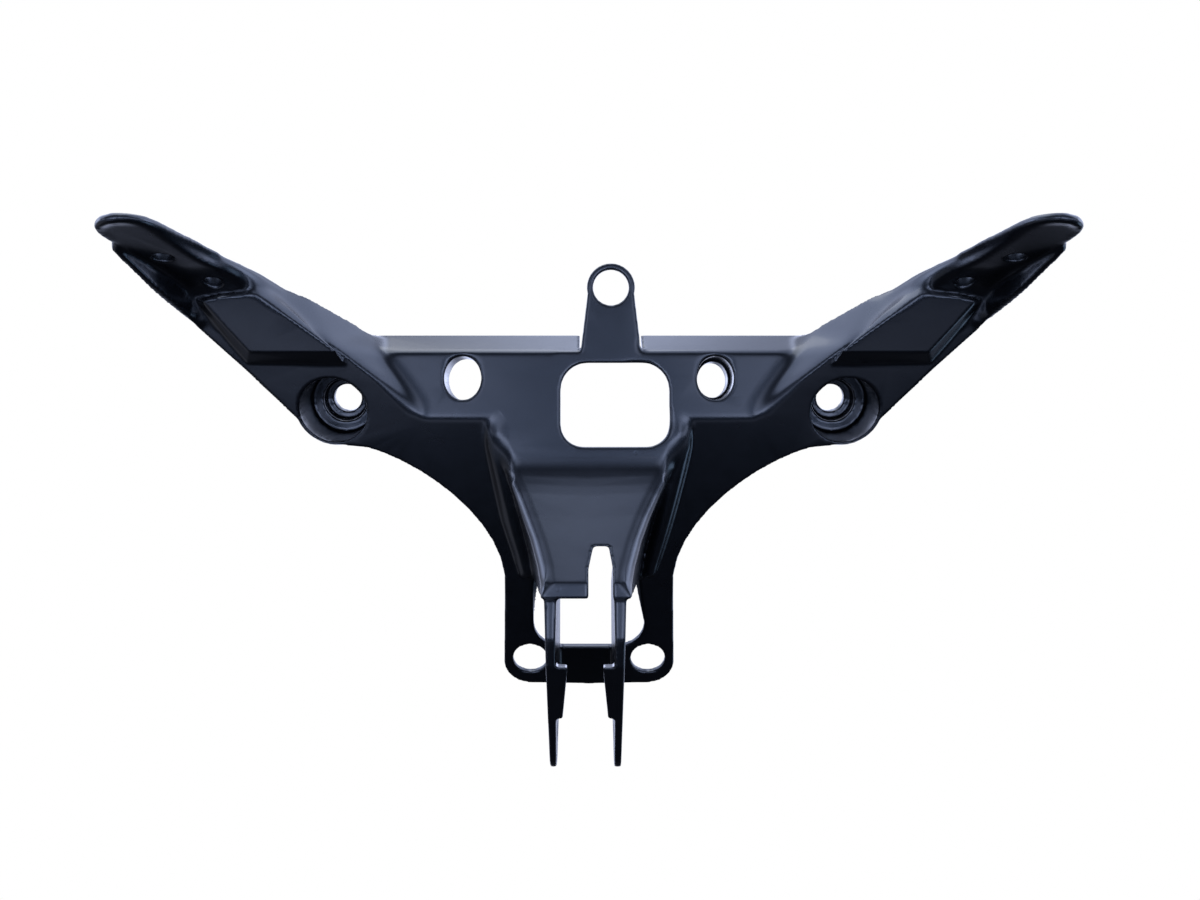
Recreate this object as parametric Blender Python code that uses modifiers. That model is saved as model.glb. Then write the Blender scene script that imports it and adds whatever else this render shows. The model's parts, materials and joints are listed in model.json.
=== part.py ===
"""Motorcycle fairing stay: one aluminium die casting, painted black.

The casting is an open-backed shell of even wall. A flat centre panel stands upright across the front, and a
leaning plate runs from the panel's lower edge down to two lobes and out into both wings. Each wing ends in a
level mirror seat that reaches forward. A neck swells out of the plate and ends in a fork of two ears, which
straddle the motorcycle's steering head.

X runs to the right, Y to the back and Z up, seen from the front. The origin is on the axis of the fork's lower
bolt, in the plane midway between the wings. The shape is drawn in millimetres from the panel's front face,
where y is 0, and the parts' parent empty moves it to the origin.
"""

import math

import bmesh
import bpy
from mathutils import Matrix, Vector
from mathutils.geometry import interpolate_bezier

MM = 0.001
LEFT, RIGHT = -1, 1

# Shell
WALL = 3.2
OVERLAP = 1.5  # how far a boss or an ear runs into the shell that carries it
CUT_PAST = 4.0  # how far a cutter runs past the face that it leaves

# Centre panel, upright at y = 0
PANEL_TOP_Z = 43.75
PANEL_FOOT_Z = 14.3  # the fold between the panel and the plate
PANEL_BEND_Z = -4.9  # the fold between the panel and the neck
PANEL_FOOT_HALF = 73.2
PANEL_FLARE = 20.3  # how much wider each side is at the top
PANEL_TOP_HALF = PANEL_FOOT_HALF + PANEL_FLARE
FLANGE_DEPTH = 15.0
FLANGE_RISE = 9.2

# Leaning plate, which meets the panel at its foot
PLATE_LEAN = math.radians(27)
# Each step gives how far outboard and up the next corner lies.
CREST_OUT, CREST_UP = 21.6, 19.0  # from the panel's foot to where the crest turns outward
CREST_RUN, CREST_CLIMB = 38.6, 29.3  # on to where the wing leaves the plate
WING_ROOT_OUT, WING_ROOT_UP = 33.9, -10.9  # on to the end of the wing's lower edge
EDGE_RUN, EDGE_FALL = 16.5, 16.4  # and back along that edge, inboard and down
CREST_HALF, CREST_Z = PANEL_FOOT_HALF + CREST_OUT, PANEL_FOOT_Z + CREST_UP
CREST_END_HALF, CREST_END_Z = CREST_HALF + CREST_RUN, CREST_Z + CREST_CLIMB
EDGE_END_HALF, EDGE_END_Z = CREST_END_HALF + WING_ROOT_OUT, CREST_END_Z + WING_ROOT_UP
EDGE_HALF, EDGE_Z = EDGE_END_HALF - EDGE_RUN, EDGE_END_Z - EDGE_FALL
CUP_INSET, CUP_DROP = 19.4, 45.1  # from the crest's end inboard and down to the cup
CUP_HALF, CUP_Z = CREST_END_HALF - CUP_INSET, CREST_END_Z - CUP_DROP
WAIST_HALF, WAIST_Z = 40.9, -70.0  # the narrowest place above the lobes
HIP_INSET, HIP_DROP = 14.0, 16.7  # from the cup to where the curve down to the waist starts
HIP_HALF, HIP_Z = CUP_HALF - HIP_INSET, CUP_Z - HIP_DROP
HIP_PULL, WAIST_PULL = (-23.5, -6.5), (-5.2, 35.0)  # the curve's handles
PLATE_BOTTOM_Z = -118.7
OPENING_HALF = 27.2
OPENING_TOP_Z = -62.0
OPENING_BOTTOM_Z = -98.0
OPENING_CORNER = 14.0

# Lobes
LOBE_HALF, LOBE_Z = 29.4, -106.2
LOBE_RADIUS = 13.2
LOBE_HOLE_RADIUS = 8.5

# Cups round the wings' large holes
CUP_RADIUS = 15.2
CUP_WALL = 2.0
CUP_DEPTH = 26.0
CUP_FLOOR = 5.5
CUP_RIM = CUP_RADIUS + 1.7  # the plate's edge round the cup
CUP_LEAN = math.radians(13)
BOSS_RADIUS = 10.0
BOSS_HEIGHT = 5.0
CUP_HOLE_RADIUS = 6.5

# Wing from the plate to the mirror seat. The seat's plane is at SEAT_Z in the centre of the stay.
SEAT_RISE = 8.03  # from the crest's end
SEAT_Z = CREST_END_Z + SEAT_RISE
SEAT_FALL = 0.0621  # mm down for each mm outboard
SEAT_CLIMB = 0.2588  # mm up for each mm forward
# y, and distance outboard of the crest's end
INNER_RAIL = ((11.5, -35.0), (20.9, -54.1), (26.1, -70.4), (30.3, -85.8))
BAND_START = (5.9, 6.0, 9.65)  # from the panel's top corner: outboard, y and up
# From the crest's end: outboard, y and up
BAND_RAIL = (
    (-11.6, -11.0, 3.5),
    (-3.1, -16.0, 7.4),
    (8.5, -28.0, 14.5),
    (19.2, -48.0, 18.7),
    (24.6, -68.0, 21.6),
    (29.8, -85.2, 23.9),
)
# y, and distance outboard of the lower edge's end
OUTER_RAIL = ((2.5, -30.0), (6.0, -49.8), (9.9, -62.0), (13.5, -71.8))
SKIRT_DROP = (9.8, 8.0, 4.4, 1.4)  # how far the wall under the seat's outer edge hangs
MIRROR_HOLES = ((0.8, -59.0), (-10.7, -33.7))
MIRROR_HOLE_RADIUS = 3.75
MIRROR_BOSS_RADIUS = 8.0
MIRROR_BOSS_HEIGHT = 3.0
# Share of the way from the inner rail's end to the outer rail's end, and y
NOSE = ((0.22, -90.3), (0.56, -92.6), (0.9, -91.2), (1.09, -87.2), (1.13, -80.6))
WING_STEPS = 3

# Raised pad on each wing. Its corners are measured from the wing's corners on the plate, outboard and up.
PAD_HEIGHT, PAD_FOOT_HEIGHT = 4.8, 5.8  # at the pad's upper and lower edge
PAD_FACE_TIP, PAD_FOOT_TIP = (-4.3, 11.1), (1.1, 11.9)  # from the lower edge's end
PAD_FACE_CREST, PAD_FOOT_CREST = (6.6, 3.0), (4.6, 7.8)  # from the crest's end
PAD_FACE_CUP, PAD_FOOT_CUP = (-6.3, 24.4), (-7.9, 18.5)  # from the cup
PAD_FACE_EDGE, PAD_FOOT_EDGE = (-5.3, 6.4), (-1.2, 1.6)  # from the lower edge

# Neck and its bead
NECK_CENTRE_X = -1.2
NECK_ROWS = (
    (-4.9, 38.5, 37.6),
    (-8.4, 37.7, 37.0),
    (-12.4, 36.4, 36.2),
    (-16.2, 34.5, 35.3),
    (-20.0, 32.3, 34.2),
    (-30.0, 27.5, 31.6),
    (-40.0, 23.3, 29.2),
    (-50.0, 20.2, 27.0),
    (-55.9, 19.0, 25.6),
)
NECK_TOP_HALF = 40.5
NECK_RISE = 0.653  # mm forward for each mm down
NECK_BEND = 6.0  # length over which the neck bends away from the panel
LIP_Z = -62.6
NECK_FOLD = 5.5  # how far the rounding of the neck's front edges reaches to each side
BEAD = (
    (41.2, 12.2, 1.0),
    (41.2, 11.0, 3.1),
    (41.2, 8.6, 4.6),
    (41.1, 4.6, 5.3),
    (40.6, -3.0, 5.0),
    (35.6, -31.8, 3.9),
    (32.0, -46.9, 3.3),
    (29.2, -59.4, 3.0),
    (28.9, -60.8, 1.6),
)

# Slot through the neck
SLOT_TOP_Z = -41.4
SLOT_STEP_Z = -50.5
SLOT_LEFT_X, SLOT_RIGHT_X = 1.9, 8.4
SLOT_FOOT_LEFT_X, SLOT_FOOT_RIGHT_X = -0.2, 10.1

# Fork ears
FORK_CENTRE_X = -1.6
EAR_SPACING = 29.6
EAR_THICK_TOP, EAR_THICK_CORNER, EAR_THICK_TIP = 5.9, 4.4, 3.1
EAR_TOP_Z = -46.0
EAR_CORNER_Z = -80.0
EAR_SHOULDER = (-24.0, -92.6)
EAR_TIP_RADIUS = 16.0
EAR_TIP_TURN = (225.0, 320.0)  # where the tip's arc starts and ends, in degrees
EAR_LIP_WIDTH = 9.0  # the lip inside the ear's lower front edge
EAR_LIP_SHARE = 0.53  # how far it runs from the shoulder to the tip
EAR_LIP_TOP, EAR_LIP_END = 5.2, 2.9
EAR_HEEL_Z = -115.5
BOLT_RADIUS = 4.3
LOWER_BOLT = (22.0, -131.0)
UPPER_BOLT = (0.0, -92.0)

# Window, crossbar holes and tab
WINDOW_X, WINDOW_Z = 11.6, 20.2
WINDOW_HALF_WIDTH, WINDOW_HALF_HEIGHT = 24.3, 18.8
WINDOW_TOP_RADIUS, WINDOW_FOOT_RADIUS = 12.0, 10.0
CROSS_HOLE_INSET = 16.7  # from the panel's foot
CROSS_HOLE_HALF, CROSS_HOLE_Z = PANEL_FOOT_HALF - CROSS_HOLE_INSET, 32.2
CROSS_HOLE_HALF_WIDTH, CROSS_HOLE_HALF_HEIGHT = 8.3, 9.8
CROSS_BOSS_WALL = 2.8
CROSS_BOSS_LENGTH = (16.0, 20.0)
CROSS_STEP_DEPTH = 12.0  # the right hole narrows here
CROSS_STEP_SHARE = 0.84
TAB_X = 9.8
TAB_FOOT_HALF = 14.0
TAB_RISE = 28.95  # from the panel's top edge to the tab's hole
TAB_HOLE_Z = PANEL_TOP_Z + TAB_RISE
TAB_RING = 10.8
TAB_HOLE_RADIUS = 8.0

NEAR = 0.02


def clear_scene():
    for obj in list(bpy.data.objects):
        bpy.data.objects.remove(obj, do_unlink=True)


def collection(name):
    made = bpy.data.collections.new(name)
    bpy.context.scene.collection.children.link(made)
    return made


def add_object(name, bm, into, helper=False):
    """An object of this bmesh, whose points are in millimetres."""
    bmesh.ops.transform(bm, matrix=Matrix.Scale(MM, 4), verts=bm.verts)
    mesh = bpy.data.meshes.new(name)
    bm.to_mesh(mesh)
    bm.free()
    obj = bpy.data.objects.new(name, mesh)
    into.objects.link(obj)
    if helper:
        obj.hide_render = True
        obj.display_type = "WIRE"
    return obj


def on_plate(x, z, proud=0.0):
    """The point of the leaning plate at this x and z, raised by proud towards the front."""
    y = -math.tan(PLATE_LEAN) * (z - PANEL_FOOT_Z)
    return Vector((x, y - proud / math.cos(PLATE_LEAN), z))


def on_seat(out, y, up=0.0):
    return Vector((out, y, SEAT_Z - SEAT_FALL * out - SEAT_CLIMB * y + up))


def seat_normal(side):
    return Vector((side * SEAT_FALL, SEAT_CLIMB, 1.0)).normalized()


def on_neck(z):
    down = max(0.0, PANEL_BEND_Z - z)
    return -NECK_RISE * (down - NECK_BEND * (1 - math.exp(-down / NECK_BEND)))


def neck_centre(z):
    share = min(1.0, max(0.0, (PANEL_BEND_Z - z) / 25.0))
    return NECK_CENTRE_X * share


def arc(centre, radius, start, end, steps):
    """Points of an arc in the plane of its first two coordinates, from start to end in degrees."""
    turn = [math.radians(start + (end - start) * i / steps) for i in range(steps + 1)]
    return [(centre[0] + radius * math.cos(a), centre[1] + radius * math.sin(a)) for a in turn]


def plate_arc(centre, radius, start, end, steps):
    """An arc that is round in the plate's own plane, as outboard distance and z."""
    flat = arc((0.0, 0.0), radius, start, end, steps)
    return [(centre[0] + a, centre[1] + b * math.cos(PLATE_LEAN)) for a, b in flat]


def smooth(points, steps):
    """A curve through these points, with steps pieces between each two."""
    points = [Vector(p) for p in points]
    ends = [2 * points[0] - points[1], *points, 2 * points[-1] - points[-2]]
    made = []
    for before, a, b, after in zip(ends, ends[1:], ends[2:], ends[3:]):
        for i in range(steps):
            t = i / steps
            slope_a = (b - before) / 2
            slope_b = (after - a) / 2
            made.append(
                a * (2 * t**3 - 3 * t**2 + 1)
                + slope_a * (t**3 - 2 * t**2 + t)
                + b * (3 * t**2 - 2 * t**3)
                + slope_b * (t**3 - t**2)
            )
    made.append(points[-1])
    return made


def add_face(bm, points):
    bm.faces.new([bm.verts.new(p) for p in points])


def add_strip(bm, first, second):
    """Faces between two rails with as many points each. Points that coincide give a triangle."""
    for a, b, c, d in zip(first, first[1:], second[1:], second):
        corners = [a]
        for p in (b, c, d):
            if all((p - q).length > NEAR for q in corners):
                corners.append(p)
        if len(corners) > 2:
            add_face(bm, corners)


def out(side, points):
    """Points given by their outboard distance, on this side of the stay."""
    return [Vector((side * p[0], p[1], p[2])) for p in points]


def crest_points():
    """The crest on the plate, from the panel's foot to the wing, as outboard distance and z."""
    low = (CREST_HALF, CREST_Z)
    high = (CREST_END_HALF, CREST_END_Z)
    shares = (0.0, 0.3, 0.46, 0.8, 1.0)
    line = [(low[0] + (high[0] - low[0]) * s, low[1] + (high[1] - low[1]) * s) for s in shares]
    return [(PANEL_FOOT_HALF, PANEL_FOOT_Z), *line]


def panel_side():
    """The panel's side edge where it meets the band, from the foot to the top."""
    share = (CREST_Z - PANEL_FOOT_Z) / (PANEL_TOP_Z - PANEL_FOOT_Z)
    half = PANEL_FOOT_HALF + (PANEL_TOP_HALF - PANEL_FOOT_HALF) * share
    return [(PANEL_FOOT_HALF, 0.0, PANEL_FOOT_Z), (half, 0.0, CREST_Z), (PANEL_TOP_HALF, 0.0, PANEL_TOP_Z)]


def band_rail():
    start = Vector((PANEL_TOP_HALF, 0.0, PANEL_TOP_Z)) + Vector(BAND_START)
    return [start, *(Vector((CREST_END_HALF + a, y, CREST_END_Z + z)) for a, y, z in BAND_RAIL)]


def nose(inner_end, outer_end):
    """The front edge of the seat between the ends of its rails."""
    return [on_seat(inner_end.x + (outer_end.x - inner_end.x) * share, y) for share, y in NOSE]


def wing_rails(side):
    """The rails of the wing beyond the plate: skirt, outer, inner and band."""
    root = on_plate(0.0, EDGE_END_Z).y
    split = (EDGE_END_HALF * 0.86 + CREST_END_HALF * 0.14, EDGE_END_Z * 0.64 + CREST_END_Z * 0.36)
    outer_start = on_plate(*split)
    outer = [outer_start, *(on_seat(EDGE_END_HALF + a, y) for a, y in OUTER_RAIL)]
    skirt = [Vector((EDGE_END_HALF, root, EDGE_END_Z))]
    for point, drop in zip(outer[1:], SKIRT_DROP):
        skirt.append(point - Vector((0.0, 0.0, drop)))
    inner = [on_plate(CREST_END_HALF, CREST_END_Z), *(on_seat(CREST_END_HALF + a, y) for a, y in INNER_RAIL)]
    band = band_rail()[2:]
    return [out(side, smooth(rail, WING_STEPS)) for rail in (skirt, outer, inner, band)]


def plate_outline(side):
    """The plate's outline on one side of the centre line, as x and z."""
    cup = plate_arc((CUP_HALF, CUP_Z), CUP_RIM, -15.0, -80.0, 5)
    ends = Vector((HIP_HALF, HIP_Z)), Vector((WAIST_HALF, WAIST_Z))
    hip = interpolate_bezier(ends[0], ends[0] + Vector(HIP_PULL), ends[1] + Vector(WAIST_PULL), ends[1], 12)
    lobe = plate_arc((LOBE_HALF, LOBE_Z), LOBE_RADIUS, 10.0, -90.0, 7)
    corner_z = OPENING_BOTTOM_Z + OPENING_CORNER * math.cos(PLATE_LEAN)
    opening = plate_arc((OPENING_HALF - OPENING_CORNER, corner_z), OPENING_CORNER, -90.0, 0.0, 5)
    split = (EDGE_END_HALF * 0.86 + CREST_END_HALF * 0.14, EDGE_END_Z * 0.64 + CREST_END_Z * 0.36)
    edge = [(NECK_TOP_HALF, PANEL_FOOT_Z), *crest_points(), split, (EDGE_END_HALF, EDGE_END_Z)]
    edge += [(EDGE_HALF, EDGE_Z), *cup, *((p.x, p.y) for p in hip), *lobe]
    edge += [(0.0, PLATE_BOTTOM_Z), (0.0, OPENING_BOTTOM_Z), *opening]
    return [on_plate(side * a, z) for a, z in edge]


def root_rail(side):
    """Where the neck's side wall meets the plate, from the panel's foot down."""
    rail = [on_plate(side * NECK_TOP_HALF, PANEL_FOOT_Z)]
    for z, _, root in NECK_ROWS[:-1]:
        rail.append(on_plate(neck_centre(z) + side * root, z))
    rail.append(on_plate(neck_centre(OPENING_TOP_Z) + side * NECK_ROWS[-1][2], OPENING_TOP_Z))
    return rail


def neck_rail(side):
    """The front edge of the neck, from the panel's foot down to the lip."""
    rail = [Vector((side * NECK_TOP_HALF, 0.0, PANEL_FOOT_Z))]
    for z, half, _ in NECK_ROWS:
        rail.append(Vector((neck_centre(z) + side * half, on_neck(z), z)))
    return rail


def shell_surface():
    """The shell's front surface, as one open sheet of faces."""
    bm = bmesh.new()
    flange = Vector((0.0, FLANGE_DEPTH, FLANGE_RISE))
    edges = {side: out(side, panel_side()) for side in (LEFT, RIGHT)}
    necks = {side: neck_rail(side) for side in (LEFT, RIGHT)}
    corners = {}
    outline = [*edges[LEFT], *edges[RIGHT][::-1]]
    outline += [necks[RIGHT][0], necks[RIGHT][1], Vector((0.0, 0.0, PANEL_BEND_Z))]
    add_face(bm, [*outline, necks[LEFT][1], necks[LEFT][0]])
    for side in (LEFT, RIGHT):
        root = root_rail(side)
        neck = necks[side]
        panel_edge = edges[side]
        add_face(bm, plate_outline(side) + root[:0:-1])
        middle = [Vector((neck_centre(p.z), p.y, p.z)) for p in neck[1:]]
        add_strip(bm, middle, neck[1:])
        lip = [Vector((p.x, p.y, LIP_Z)) for p in (middle[-1], neck[-1])]
        add_face(bm, [middle[-1], neck[-1], lip[1], lip[0]])
        add_strip(bm, neck, root)
        add_face(bm, [neck[-1], root[-1], lip[1]])
        corner = panel_edge[-1] + flange + Vector((side * 2.0, 0.0, 0.0))
        corners[side] = corner
        crest = [on_plate(side * a, z) for a, z in crest_points()]
        band = [*panel_edge, *out(side, band_rail()[:3])]
        add_strip(bm, crest, band)
        add_face(bm, [panel_edge[-1], corner, band[3]])
        skirt, outer, inner, upper = wing_rails(side)
        add_strip(bm, skirt, outer)
        add_strip(bm, outer, inner)
        add_strip(bm, inner, upper)
        ends = out(side, [inner[-1], outer[-1]])
        add_face(bm, [inner[-1], *out(side, nose(*ends)), outer[-1]])
    add_face(bm, [edges[LEFT][-1], corners[LEFT], corners[RIGHT], edges[RIGHT][-1]])
    bmesh.ops.remove_doubles(bm, verts=bm.verts, dist=NEAR)
    for side in (LEFT, RIGHT):
        round_rail(bm, neck_rail(side)[1:], NECK_FOLD)
    bmesh.ops.recalc_face_normals(bm, faces=bm.faces)
    bm.normal_update()
    panel = max(bm.faces, key=lambda f: f.calc_area() if abs(f.normal.y) > 0.999 else 0.0)
    if panel.normal.y > 0:
        bmesh.ops.reverse_faces(bm, faces=bm.faces)
    return bm


def round_rail(bm, rail, reach):
    """Rounds the sheet's edges along this rail."""
    def on_rail(vert):
        return any((vert.co - p).length < NEAR for p in rail)

    edges = [e for e in bm.edges if len(e.link_faces) == 2 and all(on_rail(v) for v in e.verts)]
    bmesh.ops.bevel(bm, geom=edges, offset=reach, segments=3, profile=0.5, affect="EDGES", clamp_overlap=True)


def facing(start, axis):
    """The placement that turns local Z to this axis and moves the origin to this point."""
    return Matrix.Translation(start) @ axis.to_track_quat("Z", "Y").to_matrix().to_4x4()


def turned(profile, start, axis, steps=32):
    """A solid turned about an axis from radius and height points, with a flat cap at each end."""
    bm = bmesh.new()
    verts = [bm.verts.new((radius, 0.0, height)) for radius, height in profile]
    edges = [bm.edges.new(pair) for pair in zip(verts, verts[1:])]
    bmesh.ops.spin(bm, geom=[*verts, *edges], axis=(0, 0, 1), cent=(0, 0, 0), angle=math.tau, steps=steps)
    bmesh.ops.remove_doubles(bm, verts=bm.verts, dist=NEAR)
    bmesh.ops.holes_fill(bm, edges=[e for e in bm.edges if e.is_boundary], sides=0)
    bmesh.ops.recalc_face_normals(bm, faces=bm.faces)
    bmesh.ops.transform(bm, matrix=facing(start, axis), verts=bm.verts)
    return bm


def rod(start, axis, length, radius, stretch=1.0, steps=32):
    """A cylinder from this point along this axis, its local Y stretched to make an oval."""
    bm = bmesh.new()
    bmesh.ops.create_cone(bm, cap_ends=True, segments=steps, radius1=radius, radius2=radius, depth=length)
    oval = Matrix.Diagonal((1.0, stretch, 1.0, 1.0))
    place = facing(start, axis) @ oval @ Matrix.Translation((0, 0, length / 2))
    bmesh.ops.transform(bm, matrix=place, verts=bm.verts)
    return bm


def extruded(outline, along):
    """A flat outline extruded by this vector."""
    bm = bmesh.new()
    face = bm.faces.new([bm.verts.new(p) for p in outline])
    made = bmesh.ops.extrude_face_region(bm, geom=[face])
    moved = [v for v in made["geom"] if isinstance(v, bmesh.types.BMVert)]
    bmesh.ops.translate(bm, vec=along, verts=moved)
    bmesh.ops.recalc_face_normals(bm, faces=bm.faces)
    return bm


def pad(side):
    """The raised pad on a wing, with drafted sides."""
    bm = bmesh.new()
    corners = (
        (EDGE_END_HALF, EDGE_END_Z, PAD_FACE_TIP, PAD_FOOT_TIP, PAD_HEIGHT),
        (CREST_END_HALF, CREST_END_Z, PAD_FACE_CREST, PAD_FOOT_CREST, PAD_HEIGHT),
        (CUP_HALF, CUP_Z, PAD_FACE_CUP, PAD_FOOT_CUP, PAD_FOOT_HEIGHT),
        (EDGE_HALF, EDGE_Z, PAD_FACE_EDGE, PAD_FOOT_EDGE, PAD_FOOT_HEIGHT),
    )
    top = [on_plate(side * (a + face[0]), z + face[1], height) for a, z, face, _, height in corners]
    foot = [on_plate(side * (a + low[0]), z + low[1], -OVERLAP) for a, z, _, low, _ in corners]
    verts = [bm.verts.new(p) for p in (*top, *foot)]
    bmesh.ops.convex_hull(bm, input=verts)
    bmesh.ops.dissolve_limit(bm, angle_limit=math.radians(1), verts=bm.verts, edges=bm.edges)
    bmesh.ops.recalc_face_normals(bm, faces=bm.faces)
    return bm


def cup_start(side):
    return on_plate(side * CUP_HALF, CUP_Z)


def cup_axis():
    return Vector((0.0, math.cos(CUP_LEAN), math.sin(CUP_LEAN)))


def cup(side):
    """The outside of a cup: a tube that starts inside the plate's wall, and the boss behind its floor."""
    wide = CUP_RADIUS + CUP_WALL
    floor = CUP_DEPTH + CUP_FLOOR
    narrow = BOSS_RADIUS + CUP_WALL
    profile = [(wide, 0.0), (wide, floor), (narrow, floor), (narrow, floor + BOSS_HEIGHT)]
    axis = cup_axis()
    bm = turned(profile, cup_start(side), axis)
    normal = Vector((0.0, math.cos(PLATE_LEAN), math.sin(PLATE_LEAN)))
    inside = on_plate(side * CUP_HALF, CUP_Z, -OVERLAP)
    for vert in bm.verts:
        if (vert.co - cup_start(side)).dot(axis) < NEAR:
            vert.co += axis * (inside - vert.co).dot(normal) / axis.dot(normal)
    return bm


def cup_bore(side):
    """The stepped bore of a cup: the open cup, a seat in its floor and the hole behind."""
    step = CUP_DEPTH + CUP_FLOOR
    end = step + BOSS_HEIGHT + CUT_PAST
    profile = [(CUP_RADIUS, -4 * CUT_PAST), (CUP_RADIUS, CUP_DEPTH), (BOSS_RADIUS, CUP_DEPTH)]
    profile += [(BOSS_RADIUS, step), (CUP_HOLE_RADIUS, step), (CUP_HOLE_RADIUS, end)]
    return turned(profile, cup_start(side), cup_axis())


def bead(side):
    """The tapering bead beside the neck, half sunk in the plate."""
    curve = bpy.data.curves.new("bead", "CURVE")
    curve.dimensions = "3D"
    curve.bevel_depth = 1.0
    curve.bevel_resolution = 3
    curve.use_fill_caps = True
    line = curve.splines.new("POLY")
    points = smooth(BEAD, 2)
    line.points.add(len(points) - 1)
    for made, (a, z, radius) in zip(line.points, points):
        made.co = (*on_plate(neck_centre(z) + side * a, z), 1.0)
        made.radius = radius
    obj = bpy.data.objects.new("bead", curve)
    bpy.context.scene.collection.objects.link(obj)
    graph = bpy.context.evaluated_depsgraph_get()
    mesh = bpy.data.meshes.new_from_object(obj.evaluated_get(graph))
    bm = bmesh.new()
    bm.from_mesh(mesh)
    bmesh.ops.remove_doubles(bm, verts=bm.verts, dist=NEAR)
    bmesh.ops.recalc_face_normals(bm, faces=bm.faces)
    bpy.data.objects.remove(obj, do_unlink=True)
    bpy.data.curves.remove(curve)
    bpy.data.meshes.remove(mesh)
    return bm


def ear_thickness(z):
    if z > EAR_CORNER_Z:
        share = min(1.0, (EAR_TOP_Z - z) / (EAR_TOP_Z - EAR_CORNER_Z))
        return EAR_THICK_TOP + (EAR_THICK_CORNER - EAR_THICK_TOP) * share
    share = (EAR_CORNER_Z - z) / (EAR_CORNER_Z - LOWER_BOLT[1] + EAR_TIP_RADIUS)
    return EAR_THICK_CORNER + (EAR_THICK_TIP - EAR_THICK_CORNER) * share


def ear_outline():
    """The ear from the side, as y and z: down the front, round the tip and up along the plate."""
    front = on_neck(NECK_ROWS[-1][0]) + 0.6
    inset = OVERLAP / math.cos(PLATE_LEAN)
    outline = [(on_neck(EAR_TOP_Z) + OVERLAP, EAR_TOP_Z), (front, NECK_ROWS[-1][0]), (front, EAR_CORNER_Z)]
    outline += [EAR_SHOULDER]
    outline += arc(LOWER_BOLT, EAR_TIP_RADIUS, *EAR_TIP_TURN, 7)
    for z in (EAR_HEEL_Z, OPENING_BOTTOM_Z, OPENING_TOP_Z):
        outline.append((on_plate(0.0, z).y + inset, z))
    return outline


def ear(side):
    bm = extruded([Vector((-0.5, y, z)) for y, z in ear_outline()], Vector((1.0, 0.0, 0.0)))
    for vert in bm.verts:
        vert.co.x = FORK_CENTRE_X + side * EAR_SPACING / 2 + vert.co.x * ear_thickness(vert.co.z)
    bmesh.ops.recalc_face_normals(bm, faces=bm.faces)
    return bm


def ear_lip(side):
    """The lip inside the ear's lower front edge, which thins towards the tip."""
    shoulder = Vector(EAR_SHOULDER)
    tip = Vector(arc(LOWER_BOLT, EAR_TIP_RADIUS, *EAR_TIP_TURN, 7)[0])
    end = shoulder.lerp(tip, EAR_LIP_SHARE)
    points = []
    for near, rise in ((shoulder, EAR_LIP_TOP), (end, EAR_LIP_END)):
        for y in (near.x + 0.6, near.x + EAR_LIP_WIDTH):
            half = ear_thickness(near.y) / 2
            inner = FORK_CENTRE_X + side * (EAR_SPACING / 2 - half - rise)
            points += [Vector((inner, y, near.y)), Vector((inner + side * (rise + half), y, near.y))]
    bm = bmesh.new()
    bmesh.ops.convex_hull(bm, input=[bm.verts.new(p) for p in points])
    bmesh.ops.recalc_face_normals(bm, faces=bm.faces)
    return bm


def mirror_holes(side):
    """Where the mirror's screws pass the seat, on its front face."""
    for a, y in MIRROR_HOLES:
        yield out(side, [on_seat(EDGE_END_HALF + a, y)])[0]


def window():
    """The window's cutter, with rounder corners at its top than at its foot."""
    outline = []
    corners = ((RIGHT, 1, 0.0, WINDOW_TOP_RADIUS), (LEFT, 1, 90.0, WINDOW_TOP_RADIUS))
    corners += ((LEFT, -1, 180.0, WINDOW_FOOT_RADIUS), (RIGHT, -1, 270.0, WINDOW_FOOT_RADIUS))
    for side, up, start, radius in corners:
        x = WINDOW_X + side * (WINDOW_HALF_WIDTH - radius)
        z = WINDOW_Z + up * (WINDOW_HALF_HEIGHT - radius)
        outline += arc((x, z), radius, start, start + 90.0, 6)
    return extruded([Vector((x, -CUT_PAST, z)) for x, z in outline], Vector((0.0, 2 * CUT_PAST + WALL, 0.0)))


def slot():
    """The slot's cutter: narrow at the top, then open from the lip's end to the right ear."""
    front = on_neck(NECK_ROWS[-1][0]) - CUT_PAST
    step = SLOT_STEP_Z
    outline = [(SLOT_LEFT_X, SLOT_TOP_Z), (SLOT_RIGHT_X, SLOT_TOP_Z), (SLOT_FOOT_RIGHT_X, step)]
    outline += [(SLOT_FOOT_RIGHT_X, LIP_Z - CUT_PAST), (SLOT_FOOT_LEFT_X, LIP_Z - CUT_PAST)]
    outline += [(SLOT_FOOT_LEFT_X, step)]
    return extruded([Vector((x, front, z)) for x, z in outline], Vector((0.0, 2 * CUT_PAST + 16.0, 0.0)))


def flange_gap():
    """The cut in the flange behind the tab."""
    low = PANEL_TOP_Z - 1.2
    high = PANEL_TOP_Z + FLANGE_RISE + CUT_PAST
    left, right = TAB_X - TAB_FOOT_HALF, TAB_X + TAB_FOOT_HALF
    outline = [(left, low), (left, high), (right, high), (right, low)]
    depth = FLANGE_DEPTH + 3 * CUT_PAST
    return extruded([Vector((x, -CUT_PAST, z)) for x, z in outline], Vector((0.0, depth, 0.0)))


def tab():
    """The tab, whose foot overlaps the panel and lies flush with its front."""
    ring = arc((TAB_X, TAB_HOLE_Z), TAB_RING, 195.0, -15.0, 14)
    foot = PANEL_TOP_Z - 6.0
    half = TAB_FOOT_HALF - 0.4
    outline = [(TAB_X - half, foot), (TAB_X - half, PANEL_TOP_Z), *ring]
    outline += [(TAB_X + half, PANEL_TOP_Z), (TAB_X + half, foot)]
    return extruded([Vector((x, 0.0, z)) for x, z in outline], Vector((0.0, WALL - 0.1, 0.0)))


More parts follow.
